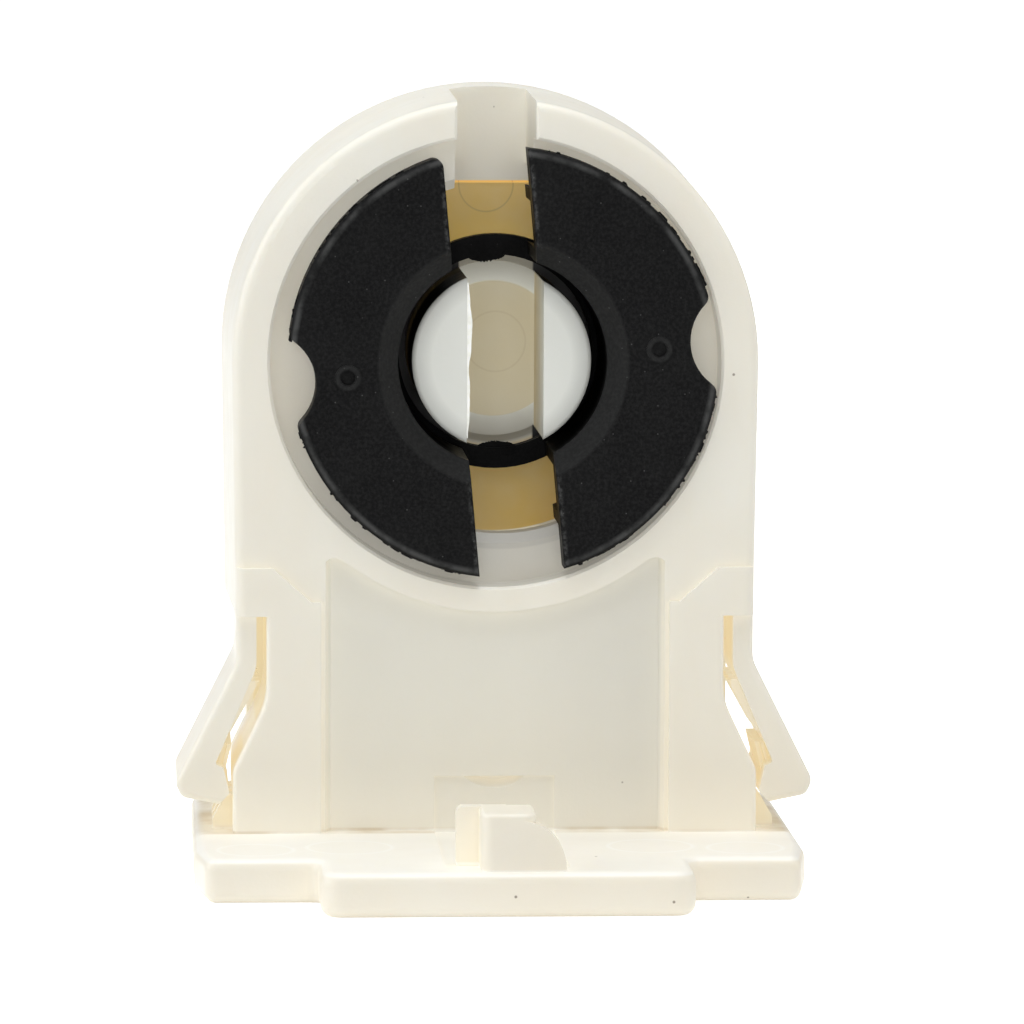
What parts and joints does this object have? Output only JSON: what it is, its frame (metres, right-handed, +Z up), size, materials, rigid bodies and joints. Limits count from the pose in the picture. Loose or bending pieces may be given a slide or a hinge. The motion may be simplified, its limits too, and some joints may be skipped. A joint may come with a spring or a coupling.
{
  "type": "fluorescent tube lamp holder",
  "caption": "Push-through lamp holder with a round head, a turning slotted rotor for a two-pin tube cap, outward snap arms and a base flange.",
  "frame": {"origin": "middle of the underside of the base flange", "axes": "+Z up from the flange to the head, X across the holder, the tube enters from -Y and its axis is along Y"},
  "size_m": [0.0274, 0.0234, 0.0338],
  "materials": {
    "cream_moulding": "satin moulded",
    "black_moulding": "matte moulded",
    "grey_white_moulding": "satin moulded",
    "phosphor_bronze": "rolled strip"
  },
  "bodies": {
    "holder": {"body": "cream_moulding", "rear_cover": "grey_white_moulding", "left_contact": "phosphor_bronze", "right_contact": "phosphor_bronze"},
    "rotor": {"rotor": "black_moulding"}
  },
  "joints": [
    {"name": "rotor_turn", "type": "hinge", "parent": "holder", "child": "rotor", "pos_m": [0.0003, 0, 0.0222], "axis": [0, 1, 0], "continuous": true}
  ]
}
